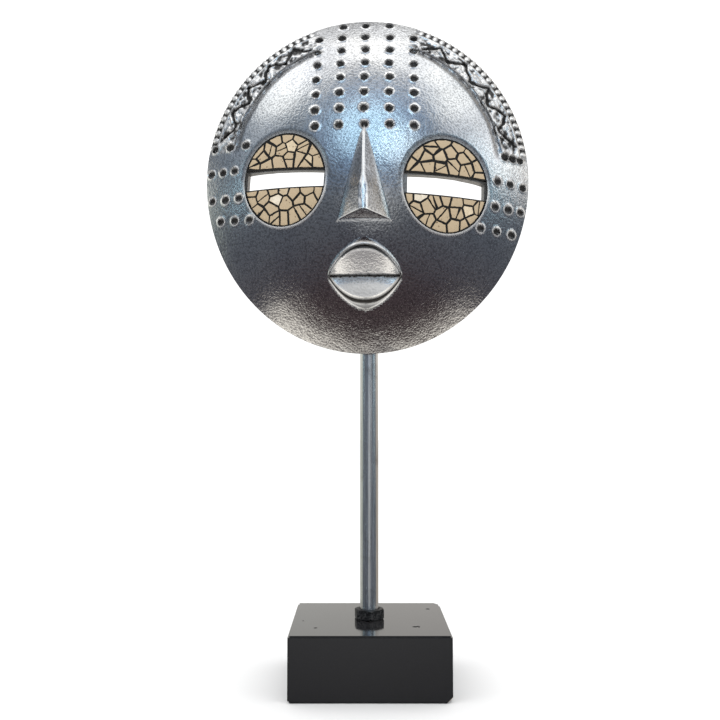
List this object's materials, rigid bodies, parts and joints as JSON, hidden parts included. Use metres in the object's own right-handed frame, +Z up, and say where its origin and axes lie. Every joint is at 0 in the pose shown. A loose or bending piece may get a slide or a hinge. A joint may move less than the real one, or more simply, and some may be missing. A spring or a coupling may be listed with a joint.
{
  "type": "mask on a stand",
  "caption": "Round cast metal mask with mosaic eyes, standing on a steel rod in a polished black stone block.",
  "frame": {"origin": "centre of the block's underside, on the rod's axis", "axes": "+Z up along the rod, the face looks along -Y, +X to the viewer's right"},
  "size_m": [0.214, 0.1218, 0.437],
  "materials": {
    "cast_metal": "polished sand casting with dark patina in the recesses",
    "mosaic": "broken cream tile, satin, in black grout",
    "steel": "bright drawn bar",
    "black_steel": "blackened, satin",
    "black_stone": "polished"
  },
  "bodies": {
    "root": {"mask": "cast_metal", "left_eye_upper_inlay": "mosaic", "left_eye_lower_inlay": "mosaic", "right_eye_upper_inlay": "mosaic", "right_eye_lower_inlay": "mosaic", "rod": "steel", "hex_nut": "black_steel", "base_block": "black_stone"}
  },
  "joints": []
}
